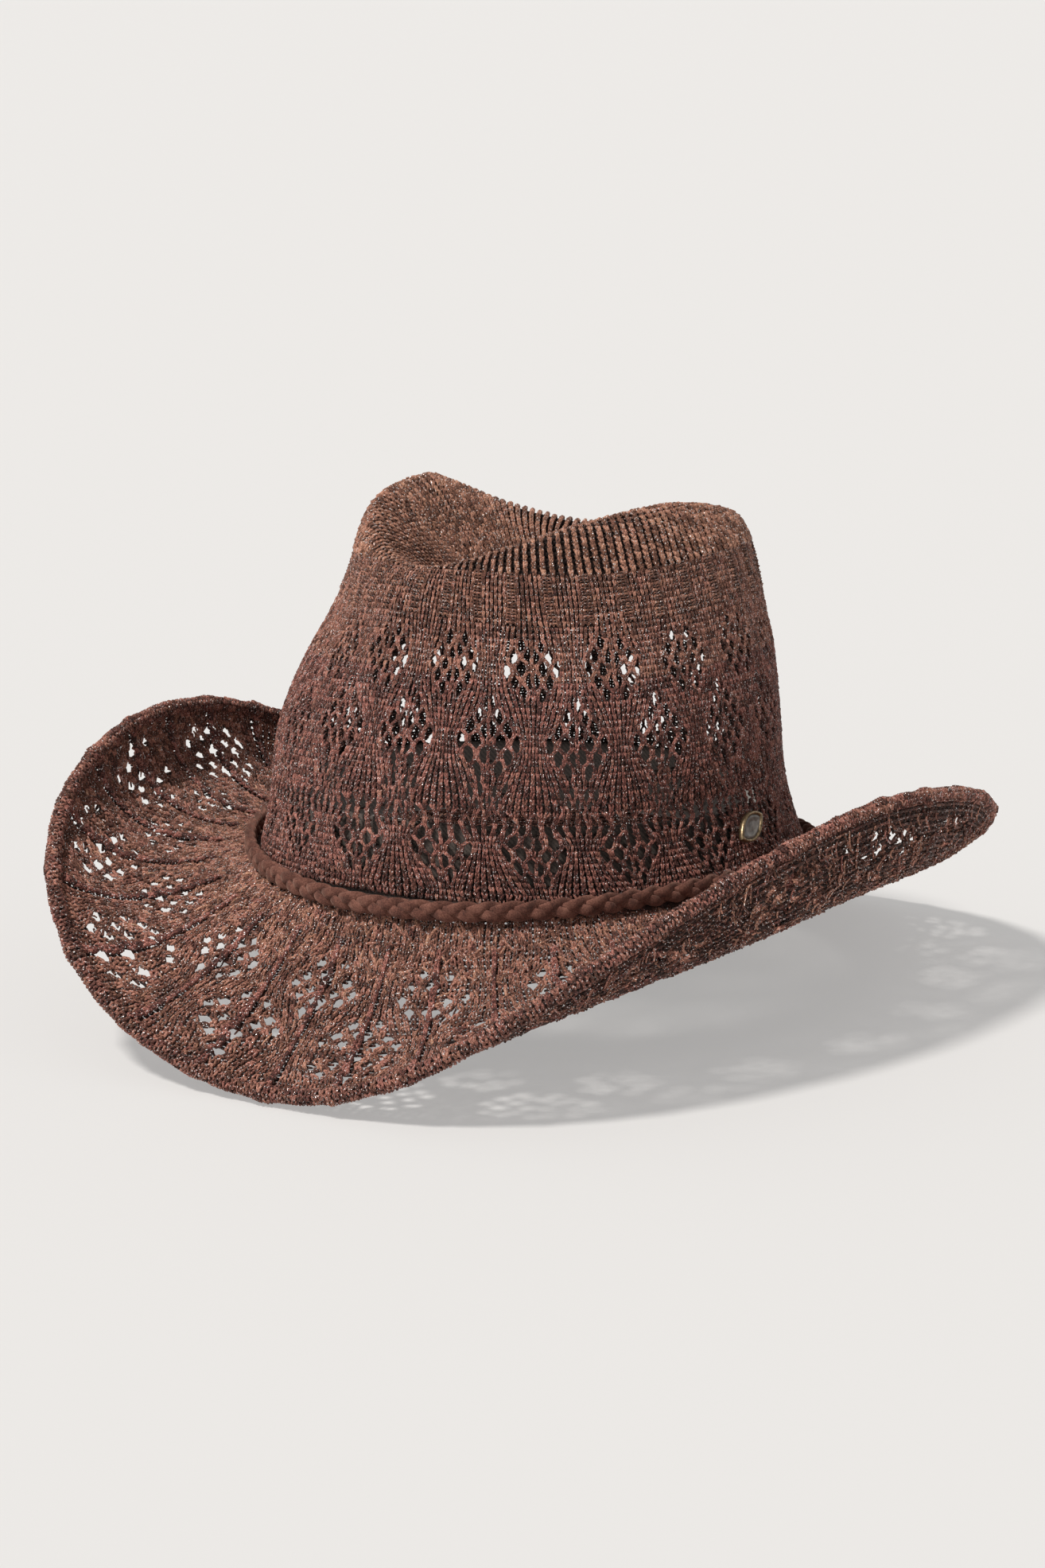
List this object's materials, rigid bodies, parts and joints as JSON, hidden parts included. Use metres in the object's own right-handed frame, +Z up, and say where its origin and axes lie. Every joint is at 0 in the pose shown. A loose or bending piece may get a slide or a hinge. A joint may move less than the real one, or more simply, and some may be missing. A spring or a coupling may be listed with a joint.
{
  "type": "cowboy hat",
  "caption": "Soft knitted lace cowboy hat with a creased crown, a wired brim rolled up at the sides, a braided suede band, a small metal badge and an inner sweatband.",
  "frame": {"origin": "on the floor under the middle of the hat's bounding box", "axes": "+Z up; the front of the hat faces -Y; the wearer's left is +X"},
  "size_m": [0.2742, 0.3137, 0.1693],
  "materials": {
    "yarn": "marled cotton-like yarn with a fine metallic thread",
    "suede": "faux suede",
    "sweat_cloth": "smooth woven strip",
    "thread": "sewing thread",
    "label_cloth": "satin weave, blank",
    "wire": "drawn steel wire",
    "sleeve_metal": "plain",
    "old_brass": "antiqued",
    "badge_inlay": "satin grey enamel"
  },
  "bodies": {
    "root": {"crown_knit": "yarn", "brim_knit": "yarn", "edge_binding": "yarn", "brim_wire": "wire", "wire_sleeve": "sleeve_metal", "strand_a": "suede", "strand_b": "suede", "strand_c": "suede", "band_wrap": "suede", "band_tacks": "thread", "sweatband": "sweat_cloth", "sweatband_stitches": "thread", "sweatband_tab": "sweat_cloth", "size_label": "label_cloth", "badge_frame": "old_brass", "badge_face": "badge_inlay", "badge_backplate": "sleeve_metal"}
  },
  "joints": []
}
